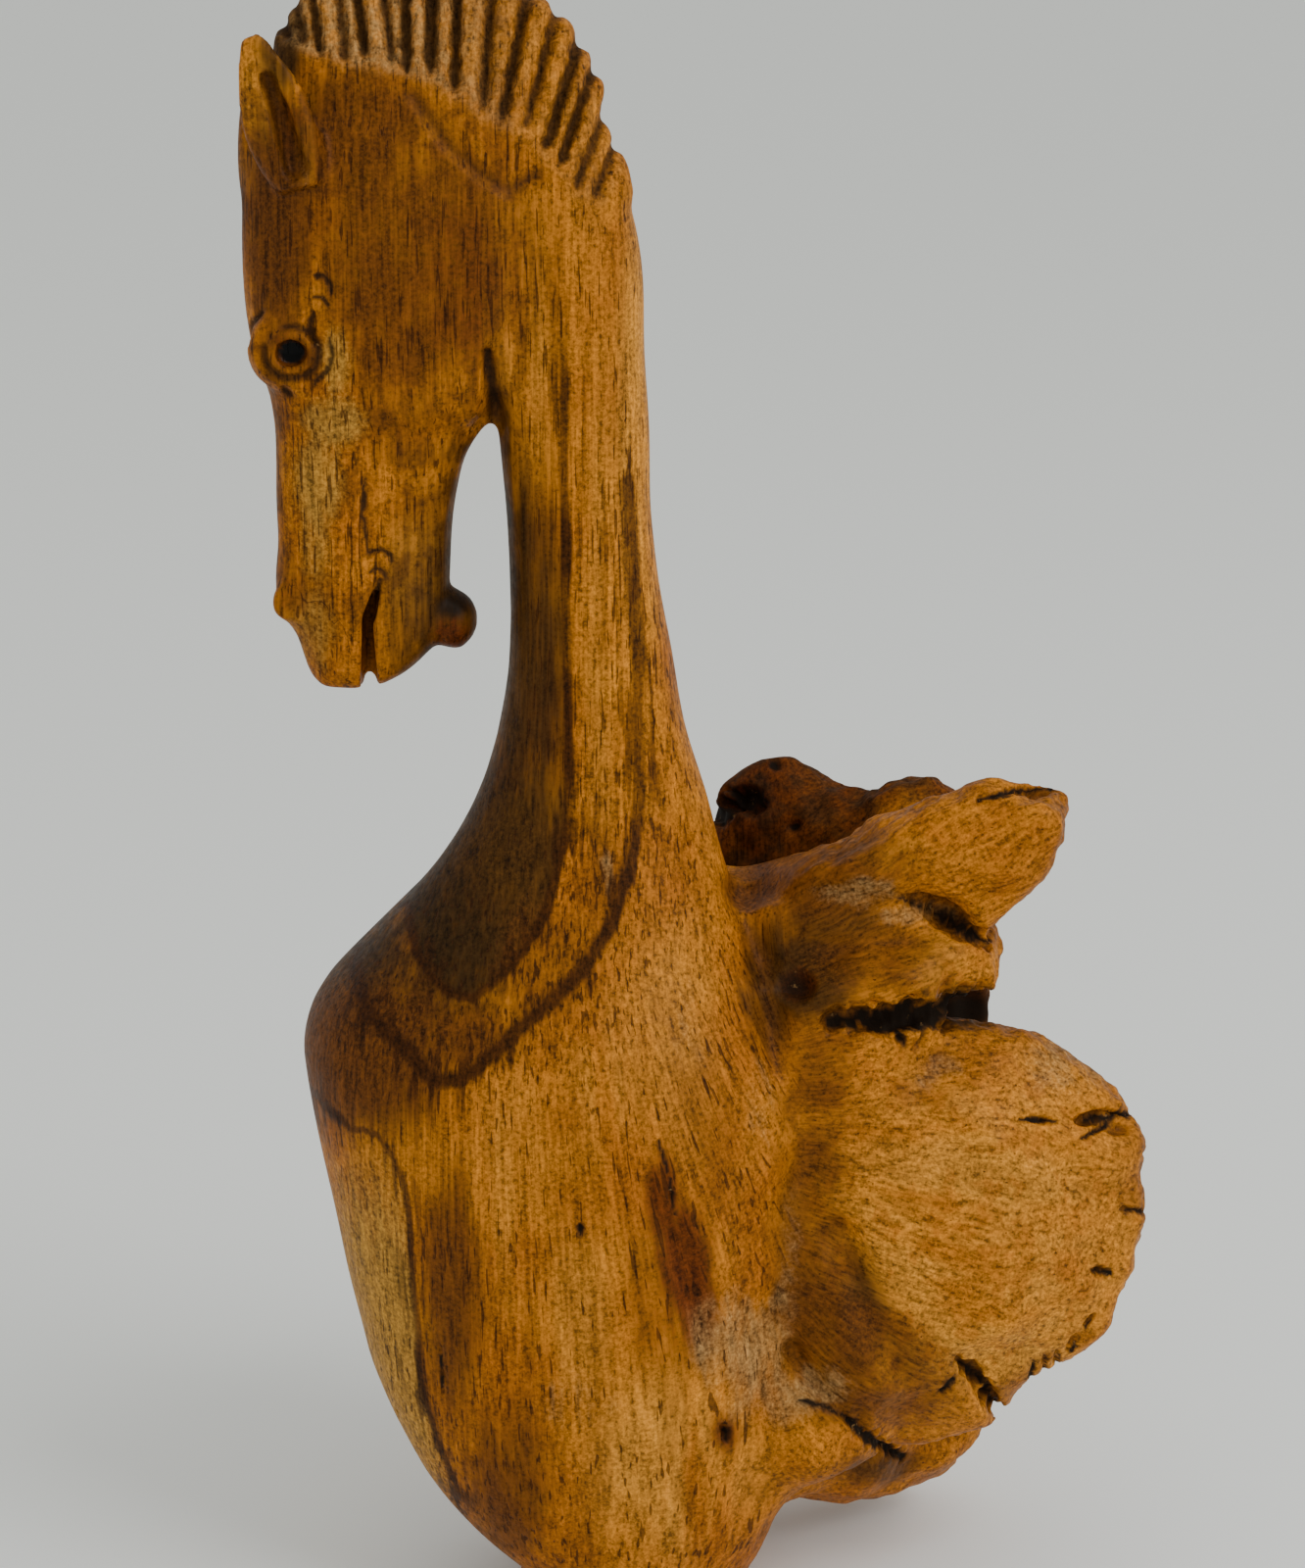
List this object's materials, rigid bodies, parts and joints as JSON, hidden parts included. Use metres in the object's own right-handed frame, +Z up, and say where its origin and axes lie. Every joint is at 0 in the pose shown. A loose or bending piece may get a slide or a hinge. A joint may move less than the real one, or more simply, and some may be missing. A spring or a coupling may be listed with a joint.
{
  "type": "carved horse figure",
  "caption": "Horse's head and long neck carved from one block of honey-brown burled wood, the burl opening like a flower behind the trunk.",
  "frame": {"origin": "On the flat foot, under the trunk, on the floor.", "axes": "+Z is up, the horse looks along -X, the burl stands out along +X, and -Y is the side with the open petals."},
  "size_m": [0.0922, 0.0608, 0.1684],
  "materials": {
    "wood": "satin oil"
  },
  "bodies": {
    "root": {"horse_figure": "wood"}
  },
  "joints": []
}
